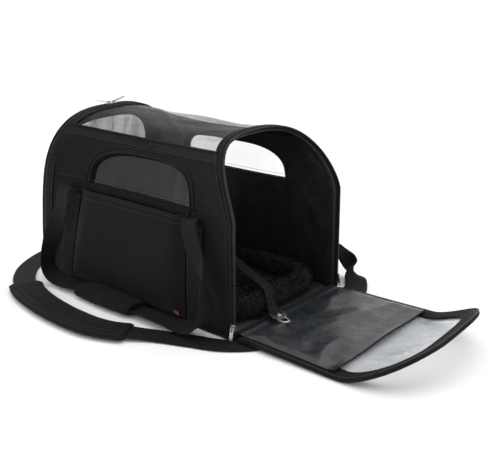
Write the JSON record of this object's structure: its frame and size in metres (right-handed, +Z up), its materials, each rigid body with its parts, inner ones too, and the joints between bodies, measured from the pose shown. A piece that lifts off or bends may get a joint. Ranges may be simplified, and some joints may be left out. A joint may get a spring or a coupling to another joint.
{
  "type": "pet carrier bag",
  "caption": "Soft-sided pet carrier bag with zipped D-shaped doors at both ends, clear roof, side pockets, carry handles and a shoulder strap.",
  "frame": {"origin": "middle of the bag's flat underside, on the floor", "axes": "+X along the bag towards the open front door, +Y to the far side with the strap rings, +Z up"},
  "size_m": [0.8408, 0.4681, 0.3003],
  "materials": {
    "nylon": "black woven polyester, matt",
    "webbing": "black ribbed webbing",
    "plush": "black plush pile",
    "lining": "coated lining with a satin shine",
    "film": "clear soft film, glossy and wrinkled",
    "zip": "black coil zip on woven tape",
    "nickel": "nickel-plated, brushed",
    "spring_steel": "spring wire",
    "board": "stiff base board"
  },
  "bodies": {
    "shell": {"anchor_webbing_far_front": "webbing", "anchor_webbing_far_rear": "webbing", "anchor_webbing_near_front": "webbing", "anchor_webbing_near_rear": "webbing", "base_board": "board", "base_piping": "nylon", "base_skin": "nylon", "bed_bolster": "plush", "bed_cushion": "plush", "d_ring_front": "nickel", "d_ring_rear": "nickel", "front_hoop_sleeve": "nylon", "front_hoop_wire": "spring_steel", "front_zip_fixed": "zip", "leash_webbing": "webbing", "pocket_far": "nylon", "pocket_near": "nylon", "rear_hoop_sleeve": "nylon", "rear_hoop_wire": "spring_steel", "rear_zip_fixed": "zip", "ring_tab_front": "webbing", "ring_tab_rear": "webbing", "roof_window": "film", "shoulder_pad": "nylon", "side_wall_far": "nylon", "side_wall_near": "nylon", "side_window_far": "film", "side_window_near": "film", "strap_hook_front": "nickel", "strap_hook_rear": "nickel", "strap_webbing": "webbing", "top_binding_far": "nylon", "top_binding_near": "nylon", "window_piping_far": "nylon", "window_piping_near": "nylon"},
    "front_door": {"front_door_panel": "nylon", "front_door_window": "film", "front_door_flap": "lining", "front_door_zip": "zip"},
    "rear_door": {"rear_door_panel": "nylon", "rear_door_window": "film", "rear_door_zip": "zip"},
    "near_handle": {"handle_webbing_near": "webbing", "handle_grip_near": "nylon"},
    "far_handle": {"handle_webbing_far": "webbing", "handle_grip_far": "nylon"},
    "front_slider_near": {"front_slider_near": "nickel"},
    "front_slider_far": {"front_slider_far": "nickel"},
    "rear_slider_near": {"rear_slider_near": "nickel"},
    "rear_slider_far": {"rear_slider_far": "nickel"},
    "front_pull_near": {"front_pull_near": "nickel"},
    "front_pull_far": {"front_pull_far": "nickel"},
    "rear_pull_near": {"rear_pull_near": "nickel"},
    "rear_pull_far": {"rear_pull_far": "nickel"},
    "strap_trigger_front": {"strap_trigger_front": "nickel"},
    "strap_trigger_rear": {"strap_trigger_rear": "nickel"},
    "leash_end": {"leash_drop": "webbing", "leash_eye": "nickel"},
    "leash_hook": {"leash_hook": "nickel"},
    "leash_trigger": {"leash_trigger": "nickel"}
  },
  "joints": [
    {"name": "front_door_hinge", "type": "hinge", "parent": "shell", "child": "front_door", "pos_m": [0.2335, 0, 0.0096], "axis": [0, -1, 0], "range_deg": [0, 90]},
    {"name": "rear_door_hinge", "type": "hinge", "parent": "shell", "child": "rear_door", "pos_m": [-0.2303, 0, 0.005], "axis": [0, -1, 0], "range_deg": [0, 90]},
    {"name": "near_handle_lift", "type": "hinge", "parent": "shell", "child": "near_handle", "pos_m": [0, -0.1415, 0.176], "axis": [-1, 0, 0], "range_deg": [0, 160]},
    {"name": "far_handle_lift", "type": "hinge", "parent": "shell", "child": "far_handle", "pos_m": [0, 0.1415, 0.176], "axis": [1, 0, 0], "range_deg": [0, 160]},
    {"name": "front_zip_near", "type": "slide", "parent": "shell", "child": "front_slider_near", "axis": [0, 0, 1], "range_m": [0, 0.105]},
    {"name": "front_zip_far", "type": "slide", "parent": "shell", "child": "front_slider_far", "axis": [0, 0, 1], "range_m": [0, 0.105]},
    {"name": "rear_zip_near", "type": "slide", "parent": "shell", "child": "rear_slider_near", "axis": [0, -1, 0], "range_m": [0, 0.03]},
    {"name": "rear_zip_far", "type": "slide", "parent": "shell", "child": "rear_slider_far", "axis": [0, 1, 0], "range_m": [0, 0.03]},
    {"name": "front_pull_near_swing", "type": "hinge", "parent": "front_slider_near", "child": "front_pull_near", "pos_m": [0.2274, -0.13445, 0.024], "axis": [-1, 0, 0], "range_deg": [0, 150]},
    {"name": "front_pull_far_swing", "type": "hinge", "parent": "front_slider_far", "child": "front_pull_far", "pos_m": [0.2274, 0.13445, 0.024], "axis": [1, 0, 0], "range_deg": [0, 150]},
    {"name": "rear_pull_near_swing", "type": "hinge", "parent": "rear_slider_near", "child": "rear_pull_near", "pos_m": [-0.1764, -0.0056, 0.29345], "axis": [-1, 0, 0], "range_deg": [0, 120]},
    {"name": "rear_pull_far_swing", "type": "hinge", "parent": "rear_slider_far", "child": "rear_pull_far", "pos_m": [-0.1764, 0.0056, 0.29345], "axis": [1, 0, 0], "range_deg": [0, 120]},
    {"name": "strap_trigger_front_slide", "type": "slide", "parent": "shell", "child": "strap_trigger_front", "axis": [-0.321, -0.4605, 0.8276], "range_m": [0, 0.005], "stiffness_N_per_m": 200, "springref_m": -0.002},
    {"name": "strap_trigger_rear_slide", "type": "slide", "parent": "shell", "child": "strap_trigger_rear", "axis": [0.4287, -0.4129, 0.8036], "range_m": [0, 0.005], "stiffness_N_per_m": 200, "springref_m": -0.002},
    {"name": "leash_lift", "type": "hinge", "parent": "shell", "child": "leash_end", "pos_m": [0.192, 0, 0.049], "axis": [0, -1, 0], "range_deg": [0, 110]},
    {"name": "leash_swivel", "type": "hinge", "parent": "leash_end", "child": "leash_hook", "pos_m": [0.2505, -0.052, 0.0208], "axis": [0.9207, -0.3903, 0], "continuous": true},
    {"name": "leash_trigger_slide", "type": "slide", "parent": "leash_hook", "child": "leash_trigger", "axis": [-0.9207, 0.3903, 0], "range_m": [0, 0.004], "stiffness_N_per_m": 200, "springref_m": -0.002}
  ],
  "couplings": [
    {"joint": "leash_lift", "follows": "front_door_hinge", "ratio": 1.2222}
  ]
}
